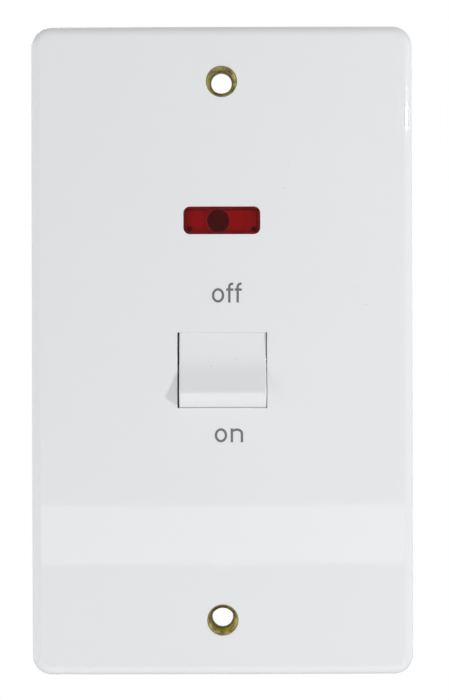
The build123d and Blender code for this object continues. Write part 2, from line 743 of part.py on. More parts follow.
with BuildPart() as switch_base:
    # Middle block, side decks, four terminal towers and the earth tower.
    with BuildSketch(level(strip_floor - base_floor)):
        with Locations((0, switch_height)):
            Rectangle(2 * deck_half, 2 * base_tall)
    extrude(amount=base_front - strip_floor + base_floor)
    with BuildSketch(level(base_screw_seat)):
        with Locations((0, switch_height)):
            RectangleRounded(2 * base_half, 2 * base_tall, base_corner)
    extrude(amount=base_front - base_screw_seat)
    with BuildSketch(level(base_rear)):
        with Locations((0, switch_height)):
            with GridLocations(2 * tower_place[0], 2 * tower_place[1], 2, 2):
                RectangleRounded(base_half - chamber_outer, base_tall - tower_bottom, base_corner)
            with Locations((0, -(base_tall + chamber_length) / 2)):
                Rectangle(terminal_width + 2 * (terminal_gap + earth_wall), base_tall - chamber_length)
    extrude(amount=base_front - base_rear)
    # Inside the rim all walls stop short of the rocker's swing.
    with BuildSketch(level(inner_front)):
        with Locations((0, switch_height)):
            Rectangle(2 * (base_half - base_side), 2 * (base_tall - base_wall))
    extrude(amount=base_front - inner_front, mode=Mode.SUBTRACT)
    # Screw columns, and the keepers that close the trunnion slots.
    with BuildSketch(level(inner_front)):
        with Locations(*column_places):
            Circle(pillar_radius)
    extrude(amount=base_front - inner_front)
    with BuildSketch(level(inner_front)):
        with Locations((0, switch_height)):
            with GridLocations(2 * aperture_half + collar_wall, 0, 2, 1):
                Rectangle(collar_wall, 2 * keeper_half)
    extrude(amount=collar_end - inner_front)
    # Blade chambers, and the room for the lamp wires above them.
    with BuildSketch(level(strip_floor)):
        with Locations((0, switch_height)):
            with GridLocations(2 * chamber_middle, 0, 2, 1):
                Rectangle(chamber_outer - chamber_inner, 2 * chamber_length)
        with Locations((0, switch_height + (store_bottom + terminal_end) / 2)):
            Rectangle(2 * chamber_outer, terminal_end - store_bottom)
    extrude(amount=inner_front - strip_floor, mode=Mode.SUBTRACT)
    with BuildSketch(level(strip_floor)):
        with Locations((0, switch_height)):
            with GridLocations(2 * pole_offset, 2 * peg_height, 2, 2):
                Circle(peg_radius)
    extrude(amount=strip_thick)
    # Slots that the strips pass through on their way to the terminals.
    with BuildSketch(level(strip_floor)):
        with Locations((0, switch_height)):
            with GridLocations(chamber_outer + deck_half, 2 * blade_arm, 2, 2):
                Rectangle(base_wall + 2 * terminal_gap, strip_width + 2 * strip_gap)
    extrude(amount=inner_front - strip_floor, mode=Mode.SUBTRACT)
    # Terminal pockets, open to the front.
    with BuildSketch(level(terminal_rear)):
        with Locations(*terminal_places):
            Rectangle(terminal_width + 2 * terminal_gap, terminal_length + 2 * terminal_gap)
        with Locations(earth_place):
            Rectangle(terminal_width + 2 * terminal_gap, earth_length + 2 * terminal_gap)
    extrude(amount=inner_front - terminal_rear, mode=Mode.SUBTRACT)
    # Wells for the screwdriver, and the cable entries at the top and the bottom.
    with BuildSketch(level(base_rear)):
        with Locations(*screw_places.values()):
            Circle(well_radius)
    extrude(amount=terminal_rear - base_rear, mode=Mode.SUBTRACT)
    for end in (1, -1):
        with BuildSketch(Plane.XY.offset(switch_height + end * terminal_end)):
            with Locations([(pole * terminal_offset, -conductor_depth) for pole in pole_sides]):
                Circle(entry_radius)
            if end < 0:
                with Locations((0, -conductor_depth)):
                    Circle(earth_radius + entry_radius - conductor_radius)
        extrude(amount=end * 2 * base_wall, mode=Mode.SUBTRACT)
    # Channels for the lamp wires, through the top wall and into both load terminals' pockets.
    with BuildSketch(level(wire_floor)):
        with Locations((lamp_across, switch_height + terminal_end + base_wall / 2)):
            Rectangle(2 * electrode_offset + wire_channel, 2 * base_wall)
    extrude(amount=base_front - wire_floor, mode=Mode.SUBTRACT)
    with BuildSketch(level(wire_floor)):
        with Locations((0, wire_height)):
            with GridLocations(chamber_outer + deck_half, 0, 2, 1):
                Rectangle(base_wall + 2 * terminal_gap, wire_channel)
    extrude(amount=inner_front - wire_floor, mode=Mode.SUBTRACT)
    # Holes for the screws that hold the base on the plate.
    with BuildSketch(level(base_screw_seat)):
        with Locations(*column_places):
            Circle(base_screw_hole)
    extrude(amount=base_front - base_screw_seat, mode=Mode.SUBTRACT)
finished(switch_base, "switch_base")

# Base screws
for screw_name, screw_place in zip(("base_screw_right", "base_screw_left"), column_places):
    with BuildPart() as base_screw:
        with BuildSketch(level(base_screw_seat)):
            with Locations(screw_place):
                Circle(base_screw_radius)
        extrude(amount=base_front + base_screw_reach - base_screw_seat)
        chamfer(base_screw.faces().sort_by(Axis.Y)[0].edges(), base_screw_radius / 2)
        with BuildSketch(level(base_screw_seat)):
            with Locations(screw_place):
                Circle(base_screw_head)
        extrude(amount=-base_screw_head_height)
        fillet(base_screw.faces().sort_by(Axis.Y)[-1].edges(), base_screw_head_height / 2)
        with BuildSketch(level(base_screw_seat - base_screw_head_height)):
            with Locations(screw_place):
                Rectangle(2 * base_screw_head, slot_width)
                Rectangle(slot_width, 2 * base_screw_head)
        extrude(amount=slot_depth, mode=Mode.SUBTRACT)
    finished(base_screw, screw_name)
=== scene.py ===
# %% [markdown]
# # A cooker switch in Blender
# A cooker switch is the big double-pole switch beside a cooker. A tall white moulded plate carries a
# white rocker, a small red window with a neon lamp behind it, and two brass cups for the fixing screws.
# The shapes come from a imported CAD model, which is loaded as a fixed frame. This lesson gives every piece
# its finish, winds the two plunger springs, draws the two words, and sets the light and the camera.

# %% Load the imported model
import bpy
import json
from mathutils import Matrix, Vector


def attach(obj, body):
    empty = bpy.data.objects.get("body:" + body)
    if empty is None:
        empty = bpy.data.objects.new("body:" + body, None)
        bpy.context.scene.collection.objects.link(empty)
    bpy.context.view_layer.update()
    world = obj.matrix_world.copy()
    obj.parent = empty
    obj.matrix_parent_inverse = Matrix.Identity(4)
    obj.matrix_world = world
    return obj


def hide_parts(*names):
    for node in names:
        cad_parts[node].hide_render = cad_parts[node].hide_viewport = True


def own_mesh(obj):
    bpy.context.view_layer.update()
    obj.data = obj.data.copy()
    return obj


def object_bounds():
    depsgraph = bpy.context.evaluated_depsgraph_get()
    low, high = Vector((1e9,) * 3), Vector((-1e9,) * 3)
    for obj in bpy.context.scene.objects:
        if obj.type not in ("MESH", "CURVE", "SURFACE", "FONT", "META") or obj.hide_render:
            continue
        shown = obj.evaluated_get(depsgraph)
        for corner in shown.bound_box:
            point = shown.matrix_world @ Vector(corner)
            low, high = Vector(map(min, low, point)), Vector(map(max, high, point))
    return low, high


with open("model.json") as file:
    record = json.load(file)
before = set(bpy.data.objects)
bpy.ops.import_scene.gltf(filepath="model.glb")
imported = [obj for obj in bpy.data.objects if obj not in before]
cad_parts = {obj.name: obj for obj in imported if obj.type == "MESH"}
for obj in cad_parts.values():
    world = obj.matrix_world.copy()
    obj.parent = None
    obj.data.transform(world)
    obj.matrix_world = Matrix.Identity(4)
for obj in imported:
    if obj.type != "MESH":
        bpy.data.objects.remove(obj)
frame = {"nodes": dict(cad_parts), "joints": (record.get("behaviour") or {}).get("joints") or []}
cad_box = [list(corner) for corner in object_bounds()]

import json
import math

import bmesh
import bpy
from mathutils import Vector
from mathutils.bvhtree import BVHTree

nodes = frame["nodes"]
MM = 0.001
box_in_mm = [[round(value / MM, 1) for value in corner] for corner in cad_box]
print("pieces in the frame:", len(nodes), "box in mm:", box_in_mm)

# %% [markdown]
# ## Camera
# The photograph is taken square-on, with the lens opposite the upper part of the plate. A camera that
# tilts down would make the plate's sides run together. A level camera keeps them parallel, and a small
# shift puts the plate in the picture, as a studio camera does. The distance comes from how much larger the
# plate's crown looks than its rim. A very small roll follows the plate's sides in the photograph.

# %% Camera
IMAGE_LONG_SIDE = 700
FOCAL_PIXELS = 2576
SHIFT_RIGHT = 2.5
SHIFT_UP = -64
FILM_WIDTH = 36
CAMERA_DISTANCE = 585 * MM
CAMERA_HEIGHT = 14.5 * MM
CAMERA_ROLL = 0.15

camera_data = bpy.data.cameras.new("studio_camera")
camera_data.sensor_width = FILM_WIDTH
camera_data.lens = FOCAL_PIXELS / IMAGE_LONG_SIDE * FILM_WIDTH
camera_data.shift_x = SHIFT_RIGHT / IMAGE_LONG_SIDE
camera_data.shift_y = SHIFT_UP / IMAGE_LONG_SIDE
camera_data.clip_start = 0.01
camera = bpy.data.objects.new("studio_camera", camera_data)
camera.location = (0, -CAMERA_DISTANCE, CAMERA_HEIGHT)
camera.rotation_euler = (math.radians(90), math.radians(CAMERA_ROLL), 0)
bpy.context.scene.collection.objects.link(camera)
bpy.context.scene.camera = camera
bpy.context.scene.view_settings.view_transform = "Standard"
print("lens:", round(camera_data.lens, 1), "mm")

# %% [markdown]
# ## Shader arithmetic
# A finish is a small formula: a noise times an amount, or a mask between two colours. Math nodes could be
# linked one by one, but that hides the formula. So one class wraps a socket and lets Python's own operators
# add the nodes.

# %% A socket with operators
class Wave:
    """A number that changes over a surface: a socket in a node tree."""

    def __init__(self, tree, socket):
        self.tree = tree
        self.socket = socket

    def math(self, operation, *values):
        step = self.tree.nodes.new("ShaderNodeMath")
        step.operation = operation
        for place, value in enumerate(values):
            put(self.tree, step.inputs[place], value)
        return Wave(self.tree, step.outputs[0])

    def __add__(self, other):
        return self.math("ADD", self, other)

    def __sub__(self, other):
        return self.math("SUBTRACT", self, other)

    def __rsub__(self, other):
        return self.math("SUBTRACT", other, self)

    def __mul__(self, other):
        return self.math("MULTIPLY", self, other)

    __radd__ = __add__
    __rmul__ = __mul__

    def absolute(self):
        return self.math("ABSOLUTE", self)

    def root(self):
        return self.math("SQRT", self)

    def or_larger(self, other):
        return self.math("MAXIMUM", self, other)


def put(tree, socket, value):
    """Links a wave to a socket, or sets the socket to a plain value."""
    if isinstance(value, Wave):
        tree.links.new(value.socket, socket)
    elif socket.type == "RGBA" and len(value) == 3:
        socket.default_value = (*value, 1)
    else:
        socket.default_value = value


print("shader operators ready")

# %% [markdown]
# ## Node trees
# Materials and the world are both trees of nodes. One method adds any node, with its settings first and
# then what goes into its sockets, so every step of a finish reads the same way. Where one finish turns
# into another, two shaders are mixed by a mask.

# %% A node tree
class NodeTree:
    """A node tree, and short ways to add nodes to it."""

    def __init__(self, tree):
        self.tree = tree

    def node(self, kind, settings=None, sockets=None, output=0):
        made = self.tree.nodes.new("ShaderNode" + kind)
        for name, value in (settings or {}).items():
            setattr(made, name, value)
        for name, value in (sockets or {}).items():
            put(self.tree, made.inputs[name], value)
        return Wave(self.tree, made.outputs[output])

    def vector(self, operation, *values, output=0):
        return self.node("VectorMath", {"operation": operation}, dict(enumerate(values)), output)

    def own_shader(self, name):
        """The shader node that the tree came with."""
        return Wave(self.tree, self.tree.nodes[name].outputs[0])

    def show(self, output, mask, first, second):
        """Shows the first shader where the mask is 0 and the second where it is 1."""
        mixed = self.node("MixShader", None, {0: mask, 1: first, 2: second})
        put(self.tree, self.tree.nodes[output].inputs[0], mixed)


print("node trees ready")

# %% [markdown]
# ## Finishes
# Plastic, metal and glass can all be made with the Principled shader, so every finish starts from it. Its
# constant sockets are set directly, and only what really changes over a surface is linked. Object
# coordinates are in metres in the frame's own axes, so a pattern has its real size and stays on its piece
# when a joint moves. A picture wrapped round the piece would need seams, and these patterns need none.

# %% A finish
class Finish(NodeTree):
    """A material with a Principled shader, and patterns to feed it."""

    def __init__(self, name, color, roughness, **constants):
        self.material = bpy.data.materials.new(name)
        self.material.use_nodes = True
        super().__init__(self.material.node_tree)
        self.feed("Base Color", color)
        self.feed("Roughness", roughness)
        for socket, value in constants.items():
            self.feed(socket.replace("_", " "), value)

    def feed(self, socket, value):
        put(self.tree, self.tree.nodes["Principled BSDF"].inputs[socket], value)

    def place(self):
        return self.node("TexCoord", output="Object")

    def coordinate(self, axis):
        """The place along x, y or z, in metres."""
        return self.node("SeparateXYZ", None, {"Vector": self.place()}, output="xyz".index(axis))

    def reach(self, x, z, wide=1.0, tall=1.0):
        """The distance from x, z as seen from the front, in widths and heights. All are in mm."""
        away = self.vector("SUBTRACT", self.place(), (x * MM, 0, z * MM))
        counted = self.vector("MULTIPLY", away, (1 / (wide * MM), 0, 1 / (tall * MM)))
        return self.vector("LENGTH", counted, output="Value")

    def noise(self, size, detail=2, seed=0.0):
        """A cloudy pattern from 0 to 1, whose lumps are about that many metres across."""
        offset = self.vector("ADD", self.place(), (seed, seed, seed))
        return self.node("TexNoise", None, {"Vector": offset, "Scale": 1 / size, "Detail": detail})

    def ramp(self, value, low, high):
        """0 below low, 1 above high and smooth between."""
        smooth = {"interpolation_type": "SMOOTHSTEP"}
        return self.node("MapRange", smooth, {"Value": value, "From Min": low, "From Max": high})

    def mix(self, mask, first, second):
        """The first colour where the mask is 0 and the second where it is 1."""
        return self.node("Mix", {"data_type": "RGBA"}, {"Factor": mask, 6: first, 7: second}, output=2)

    def bump(self, height, depth):
        """Raises the surface by height times depth, in metres."""
        bumps = self.node("Bump", None, {"Height": height, "Distance": depth, "Strength": 1.0})
        self.feed("Normal", bumps)


print("finishes ready")


# %% Giving pieces a finish
def finish_nodes(finish, *names):
    """Gives CAD nodes a finish in place of their plain one."""
    for name in names:
        slots = nodes[name].material_slots
        for slot in slots:
            slot.material = finish.material
        if not slots:
            nodes[name].data.materials.append(finish.material)


print("pieces to finish:", len(nodes))

# %% [markdown]
# ## White urea moulding
# The plate and the rocker are pressed from white urea, which is hard and glossy. A single flat white would
# look like paint, so the tone clouds a little over 25 mm, and a very fine orange peel shows in reflections
# alone. The rocker's gloss is softer than the plate's. A few dust specks and hair marks are small dark
# ovals, each one a mask over the distance from its centre.

# %% White moulding
CLOUD_SIZE = 25 * MM
PEEL_SIZE = 1.2 * MM
PEEL_DEPTH = 0.0012 * MM
MARK_COLOR = (0.50, 0.50, 0.49)


def white_moulding(name, seed, gloss, marks):
    """Glossy white moulding, with marks given as x, z, width, height and strength, in mm."""
    white = Finish(name, (0.78, 0.79, 0.80), 0.1, IOR=1.5)
    tone = white.mix(white.noise(CLOUD_SIZE, 2, seed), (0.772, 0.785, 0.800), (0.784, 0.797, 0.810))
    for x, z, wide, tall, strength in marks:
        inside = 1 - white.ramp(white.reach(x, z, wide, tall), 0.5, 1.1)
        tone = white.mix(inside * strength, tone, MARK_COLOR)
    white.feed("Base Color", tone)
    white.feed("Roughness", gloss + 0.02 * white.noise(4 * MM, 3, seed + 1))
    white.bump(white.noise(PEEL_SIZE, 2, seed + 2), PEEL_DEPTH)
    return white


print("orange peel:", round(PEEL_DEPTH / MM, 4), "mm deep")

# %% Plate and rocker
PLATE_MARKS = (
    (13.98, 36.42, 0.22, 0.18, 0.6),
    (15.1, 41.5, 0.10, 1.3, 0.25),
    (30.1, 14.3, 0.9, 0.10, 0.22),
    (32.3, 10.2, 0.7, 0.12, 0.22),
    (-31.0, -38.0, 0.12, 0.10, 0.5),
    (24.5, -52.3, 0.11, 0.13, 0.45),
)
ROCKER_MARKS = ((-2.46, -3.38, 0.22, 0.18, 0.6), (3.0, -1.8, 0.5, 0.15, 0.25))
plate_white = white_moulding("white_plate_moulding", 1.0, 0.012, PLATE_MARKS)
rocker_white = white_moulding("white_rocker_moulding", 5.0, 0.2, ROCKER_MARKS)
finish_nodes(plate_white, "front_plate")
finish_nodes(rocker_white, "rocker")
print("marks on plate and rocker:", len(PLATE_MARKS), len(ROCKER_MARKS))

# %% [markdown]
# ## Metal pieces
# The terminals, contact strips and clamp screws are brass, the contact tips are silver, and the two base
# screws are steel with a thin zinc coat. Drawn and pressed metal has a dull lustre with fine tool marks,
# and it darkens where it has been handled. One function makes them all: a cloudy mask between a light and
# a dark tone, and a noise drawn out along the wall's depth for the tool marks. The specular tint keeps a
# glancing view coloured too, where an untinted metal would turn white.

# %% Metals
def metal(name, light, dark, roughness, grain):
    """Metal with cloudy tarnish from light to dark, and tool marks as fine as the grain."""
    made = Finish(name, light, roughness, Metallic=1.0, Specular_Tint=light)
    tarnish = made.ramp(made.noise(2.5 * MM, 4), 0.42, 0.72)
    made.feed("Base Color", made.mix(tarnish, light, dark))
    drawn_out = made.vector("MULTIPLY", made.place(), (1, 0.08, 1))
    marks = made.node("TexNoise", None, {"Vector": drawn_out, "Scale": 1 / grain, "Detail": 3})
    made.feed("Roughness", roughness - 0.06 + 0.16 * marks)
    made.bump(marks, 0.006 * MM)
    return made


print("metal formula ready")

# %% Brass, steel, silver and nickel
terminal_brass = metal("terminal_brass", (0.80, 0.62, 0.33), (0.60, 0.43, 0.20), 0.36, 0.35 * MM)
strip_brass = metal("strip_brass", (0.82, 0.60, 0.34), (0.62, 0.40, 0.20), 0.32, 0.3 * MM)
screw_brass = metal("screw_brass", (0.83, 0.68, 0.38), (0.58, 0.43, 0.20), 0.28, 0.2 * MM)
zinc = metal("zinc_plate", (0.74, 0.75, 0.77), (0.55, 0.56, 0.58), 0.34, 0.2 * MM)
silver = metal("contact_silver", (0.86, 0.85, 0.83), (0.62, 0.60, 0.56), 0.4, 0.2 * MM)
spring_wire = metal("spring_wire", (0.55, 0.55, 0.56), (0.38, 0.38, 0.39), 0.3, 0.1 * MM)
nickel = metal("electrode_nickel", (0.45, 0.43, 0.41), (0.28, 0.26, 0.25), 0.45, 0.1 * MM)

print("metals: 7")

# %% Giving the metal pieces their finish
poles = ("line", "neutral")
terminals = [f"{pole}_{end}_terminal" for pole in poles for end in ("load", "supply")]
strips = [f"{pole}_{piece}" for pole in poles for piece in ("blade", "fixed_contact", "pivot_bracket")]
screws = [name for name in nodes if name.endswith("_screw")]
tips = [name for name in nodes if name.endswith("_tip")]
finish_nodes(terminal_brass, "earth_terminal", *terminals)
finish_nodes(strip_brass, *strips)
finish_nodes(screw_brass, *screws)
finish_nodes(zinc, "base_screw_left", "base_screw_right")
finish_nodes(silver, *tips)
finish_nodes(spring_wire, *[f"{pole}_spring" for pole in poles])
finish_nodes(nickel, "neon_electrodes")
print("brass screws:", len(screws), "silver tips:", len(tips))

# %% [markdown]
# ## Brass cups
# The two cups line the fixing holes, so that a screw's head can't crack the moulding. They are old-gold
# brass with finer and darker tarnish than the inner metal. A band of painted shade darkens the outermost
# rim. That rim is found by its distance from the cup's centre. Both cups lie equally far from the middle of
# the plate, so the absolute height serves for the upper and the lower one.

# %% Brass cups
CUP_HEIGHT = 60.3 * MM
RIM_SHADE_INNER = 3.2 * MM
RIM_SHADE_OUTER = 3.45 * MM
cup_brass = metal("cup_brass", (0.40, 0.35, 0.13), (0.17, 0.14, 0.05), 0.3, 0.25 * MM)
tarnish = cup_brass.ramp(cup_brass.noise(1.1 * MM, 4), 0.38, 0.62)
tone = cup_brass.mix(tarnish, (0.42, 0.36, 0.13), (0.20, 0.16, 0.055))
across = cup_brass.coordinate("x")
upward = cup_brass.coordinate("z").absolute() - CUP_HEIGHT
from_centre = (across * across + upward * upward).root()
# Painted shade: the outermost rim is darkened in the colour from this distance outward.
rim_shade = cup_brass.ramp(from_centre, RIM_SHADE_INNER, RIM_SHADE_OUTER)
cup_brass.feed("Base Color", cup_brass.mix(rim_shade, tone, (0.13, 0.12, 0.06)))
finish_nodes(cup_brass, "fixing_cup_top", "fixing_cup_bottom")
print("cup rims darken beyond", round(RIM_SHADE_INNER / MM, 2), "mm")

# %% [markdown]
# ## Inner mouldings
# The base behind the plate is pressed in a duller white than the plate, because nobody sees it. The lamp
# carrier, the grey plungers, the resistor's coat and the wires' sleeves are dull as well. They differ only
# in colour and gloss, so one function serves them all, with a cloudy tone and a fine grain.

# %% Inner mouldings
def plain_moulding(name, light, dark, roughness, seed):
    """Dull moulding with a cloudy tone and a fine grain."""
    made = Finish(name, light, roughness)
    made.feed("Base Color", made.mix(made.noise(6 * MM, 4, seed), dark, light))
    made.feed("Roughness", roughness - 0.05 + 0.1 * made.noise(1.5 * MM, 2, seed + 1))
    made.bump(made.noise(0.35 * MM, 3, seed + 2), 0.012 * MM)
    return made


base_white = plain_moulding("base_moulding", (0.78, 0.78, 0.76), (0.73, 0.73, 0.70), 0.5, 2.0)
carrier_white = plain_moulding("carrier_moulding", (0.82, 0.82, 0.80), (0.77, 0.77, 0.75), 0.45, 4.0)
plunger_grey = plain_moulding("plunger_moulding", (0.30, 0.31, 0.33), (0.25, 0.26, 0.28), 0.42, 6.0)
resistor_coat = plain_moulding("resistor_coat", (0.62, 0.52, 0.36), (0.55, 0.45, 0.30), 0.4, 8.0)
wire_sleeve = plain_moulding("wire_sleeve", (0.75, 0.75, 0.72), (0.68, 0.68, 0.65), 0.5, 9.0)
finish_nodes(base_white, "switch_base")
finish_nodes(carrier_white, "lamp_carrier")
finish_nodes(plunger_grey, "line_plunger", "neutral_plunger")
finish_nodes(resistor_coat, "dropper_resistor")
finish_nodes(wire_sleeve, "lamp_wire_line", "lamp_wire_neutral")
print("inner mouldings done")

# %% [markdown]
# ## The neon lamp
# A neon lamp is a small glass tube with two rods in it. Behind the red window it is the dark round shape a
# little left of the middle. Clear glass would leave the white carrier behind it bright, so the glass is
# tinted nearly black, as painted shade for the shade in and behind the lamp.

# %% Lamp glass
glass = Finish("lamp_glass", (0.15, 0.14, 0.14), 0.05, Transmission_Weight=1.0, IOR=1.5)
# The nearly black tint is painted shade, standing for the shade in and behind the lamp.
glass.feed("Base Color", glass.mix(glass.noise(2 * MM, 3), (0.02, 0.018, 0.016), (0.10, 0.09, 0.085)))
glass.feed("Roughness", 0.03 + 0.05 * glass.noise(1 * MM, 2))
finish_nodes(glass, "neon_bulb")
print("lamp glass done")

# %% [markdown]
# ## The red window
# The window is a block of clear red plastic, and the white carrier behind it throws the light back. A flat
# red would hide the lamp, so the light really passes through. Three soft patches of painted shade darken
# the red: one round the lamp, and one at each of the two small pins that hold the window.

# %% The window's red
# Painted shade in the red: one patch round the lamp, and one round each of the two pins.
PAINTED_SHADES = (  # x, z, inner and outer reach in mm, strength and colour
    (-1.0, 28.7, 1.9, 3.9, 0.5, (0.30, 0.008, 0.010)),
    (-7.25, 27.25, 0.3, 0.9, 1.0, (0.37, 0.008, 0.010)),
    (7.25, 27.25, 0.3, 0.9, 1.0, (0.37, 0.008, 0.010)),
)
WINDOW_IOR = 1.2
WINDOW_SHINE = 0.2
red = Finish(
    "red_window", (0.80, 0.03, 0.03), 0.08,
    Transmission_Weight=0.95, IOR=WINDOW_IOR, Specular_IOR_Level=WINDOW_SHINE,
)
tone = red.mix(red.noise(3 * MM, 2), (0.62, 0.015, 0.022), (0.70, 0.018, 0.027))
for x, z, inner, outer, strength, painted_shade in PAINTED_SHADES:
    # Each patch of painted shade darkens the red by its strength.
    tone = red.mix((1 - red.ramp(red.reach(x, z), inner, outer)) * strength, tone, painted_shade)
red.feed("Base Color", tone)
red.feed("Roughness", 0.14 + 0.08 * red.noise(1.2 * MM, 2))
finish_nodes(red, "neon_lens")
print("shades in the window:", len(PAINTED_SHADES))

# %% [markdown]
# ## The window's border
# Along its border the window is as thick as its side walls are deep, so it looks a darker red there. Colour
# alone can't do this, because the light goes through the face and comes back from the carrier. So the
# border is part opaque: a mask that rises towards the four sides mixes in a second shader that lets
# nothing through.

# %% The window's border
WINDOW_HEIGHT = 29.2 * MM
BORDER_X = 7.9 * MM
BORDER_Z = 2.4 * MM
BORDER_STRENGTH = 0.45
past_side = red.coordinate("x").absolute() - BORDER_X
past_end = (red.coordinate("z") - WINDOW_HEIGHT).absolute() - BORDER_Z
border = red.ramp(past_side.or_larger(past_end), 0.03 * MM, 0.25 * MM)
thick_plastic = {
    "Base Color": (0.33, 0.010, 0.016),
    "Roughness": 0.15,
    "IOR": WINDOW_IOR,
    "Specular IOR Level": WINDOW_SHINE,
}
thick = red.node("BsdfPrincipled", None, thick_plastic)
red.show("Material Output", border * BORDER_STRENGTH, red.own_shader("Principled BSDF"), thick)
print("window border starts at", round(BORDER_X / MM, 1), "and", round(BORDER_Z / MM, 1), "mm")

# %% [markdown]
# ## Plunger springs
# Inside the rocker, each plunger rests on a small steel spring that shortens when the plunger is pushed in.
# Each CAD solid is replaced by a spring wound here as a tube along a helix; like the solid, it keeps its
# length. Its end turns are closed, so that both ends bear flat. A screw modifier could wind it too, but a
# helix in code gives the closed turns by one function of the height.

# %% How the coil rises
WIRE = 0.25 * MM
OPEN_TURNS = 5
CLOSED_TURNS = 2
STEPS = 28
SIDES = 10


def coil_height(turn, length):
    """How far along the spring its wire is after that many turns, with a closed turn at each end."""
    rise = (length - 2 * WIRE * CLOSED_TURNS) / OPEN_TURNS
    open_part = min(max(turn - 1, 0), OPEN_TURNS)
    closed_part = min(turn, 1) + max(turn - 1 - OPEN_TURNS, 0)
    return closed_part * 2 * WIRE + open_part * rise


print("turns in a spring:", OPEN_TURNS + CLOSED_TURNS)


# %% A tube of wire
def wire_ring(shape, centre, outward, along):
    """A ring of corners round the middle of the wire."""
    angles = [2 * math.pi * side / SIDES for side in range(SIDES)]
    ways = [outward * math.cos(angle) + along * math.sin(angle) for angle in angles]
    return [shape.verts.new(centre + way * WIRE) for way in ways]


def close_tube(shape, rings):
    """Joins the rings to a tube with smooth sides and flat ends."""
    for first, second in zip(rings, rings[1:]):
        for side in range(SIDES):
            after = (side + 1) % SIDES
            shape.faces.new((first[side], first[after], second[after], second[side]))
    shape.faces.new(rings[0])
    shape.faces.new(rings[-1])
    bmesh.ops.recalc_face_normals(shape, faces=shape.faces)
    for face in shape.faces:
        face.smooth = len(face.verts) == 4


def new_piece(name, shape, finish):
    """Turns a shape into a piece with a finish."""
    mesh = bpy.data.meshes.new(name)
    shape.to_mesh(mesh)
    shape.free()
    mesh.materials.append(finish.material)
    piece = bpy.data.objects.new(name, mesh)
    bpy.context.scene.collection.objects.link(piece)
    return piece


print("wire sides:", SIDES, "steps in a turn:", STEPS)

# %% [markdown]
# ## Winding the springs
# A spring's place and size are read from the solid that it replaces, so the two can't drift apart. It rides
# with the rocker. The end that the rocker holds and the share of its length left when the plunger travels
# in are worked out, but nothing uses them.

# %% Wind the springs
SLIDE_TRAVEL = 2 * MM


def spread(values):
    """The middle and half the length of a list of numbers."""
    return (min(values) + max(values)) / 2, (max(values) - min(values)) / 2


def wound_spring(pole):
    """Winds a spring in place of the solid one, and returns its length."""
    slide = next(joint for joint in frame["joints"] if joint["name"] == f"{pole}_plunger_slide")
    along = Vector(slide["axis"]).normalized()
    right = Vector((1, 0, 0))
    up = along.cross(right)
    corners = [corner.co for corner in nodes[f"{pole}_spring"].data.vertices]
    middle_x, outer = spread([corner.dot(right) for corner in corners])
    middle_up, _ = spread([corner.dot(up) for corner in corners])
    middle, half = spread([corner.dot(along) for corner in corners])
    start = right * middle_x + up * middle_up + along * (middle - half + WIRE)
    shape = bmesh.new()
    rings = []
    for step in range((OPEN_TURNS + CLOSED_TURNS) * STEPS + 1):
        angle = 2 * math.pi * step / STEPS
        outward = right * math.cos(angle) + up * math.sin(angle)
        risen = along * coil_height(step / STEPS, 2 * half - 2 * WIRE)
        rings.append(wire_ring(shape, start + outward * (outer - WIRE) + risen, outward, along))
    close_tube(shape, rings)
    spring = new_piece(f"{pole}_wound_spring", shape, spring_wire)
    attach(spring, "rocker")
    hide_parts(f"{pole}_spring")
    held_end = start + along * (2 * half - WIRE)
    kept_share = (2 * half - SLIDE_TRAVEL) / (2 * half)
    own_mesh(spring)
    return 2 * half


for pole in poles:
    print(pole, "spring length:", round(wound_spring(pole) / MM, 2), "mm")

# %% [markdown]
# ## The two words
# Small grey letters are printed above and below the rocker: off and on, in a light face without serifs. A
# text object would bring a typeface of its own. A print is a thin film, so each letter is drawn as a flat
# outline of even stroke width and laid on the plate's crown, which a ray finds.

# %% Places on the plate
STROKE = 0.53
FILM = 0.03 * MM
BEFORE_PLATE = -50 * MM
plate_mesh = nodes["front_plate"].data
plate_corners = [corner.co for corner in plate_mesh.vertices]
plate_tree = BVHTree.FromPolygons(plate_corners, [face.vertices for face in plate_mesh.polygons])


def on_plate(x, z):
    """The place on the plate's face at x and z, in mm."""
    return plate_tree.ray_cast(Vector((x * MM, BEFORE_PLATE, z * MM)), Vector((0, 1, 0)))[0]


print("plate face at the upper middle:", round(on_plate(0, 20).y / MM, 2), "mm")


# %% Strokes of ink
def bend(centre_x, centre_z, wide, tall, start, end, steps=28):
    """Places along part of an oval, from one angle to another in degrees."""
    angles = [math.radians(start + (end - start) * step / steps) for step in range(steps + 1)]
    return [(centre_x + wide * math.cos(angle), centre_z + tall * math.sin(angle)) for angle in angles]


def ink_row(film, place, along):
    """Four corners across a stroke: the film's front and back at its left and right edge."""
    row = []
    for edge in (STROKE / 2, -STROKE / 2):
        foot = on_plate(place[0] - along.y * edge, place[1] + along.x * edge)
        row += [film.verts.new(foot + Vector((0, depth, 0))) for depth in (-FILM, FILM)]
    return row


def ink_stroke(film, line, ring=False):
    """Adds a stroke of even width to a film, along places given in mm."""
    rows = []
    for step, place in enumerate(line):
        before = line[step - 1] if ring or step else line[0]
        after = line[(step + 1) % len(line)] if ring or step < len(line) - 1 else line[-1]
        along = Vector((after[0] - before[0], after[1] - before[1])).normalized()
        rows.append(ink_row(film, place, along))
    for first, second in list(zip(rows, rows[1:])) + ([(rows[-1], rows[0])] if ring else []):
        for left, right in ((0, 2), (2, 3), (3, 1), (1, 0)):
            film.faces.new((first[left], first[right], second[right], second[left]))
    if not ring:
        for row in (rows[0], rows[-1]):
            film.faces.new((row[0], row[2], row[3], row[1]))


print("stroke:", STROKE, "mm wide")

# %% [markdown]
# ## Letters
# The o is one closed oval. The f is a stem with a hook, and its crossbar is two short strokes that stop at
# the stem. The n is a straight stem and an arch that starts at the stem's edge. So no two strokes overlap,
# which would leave faces that fight for the same place.

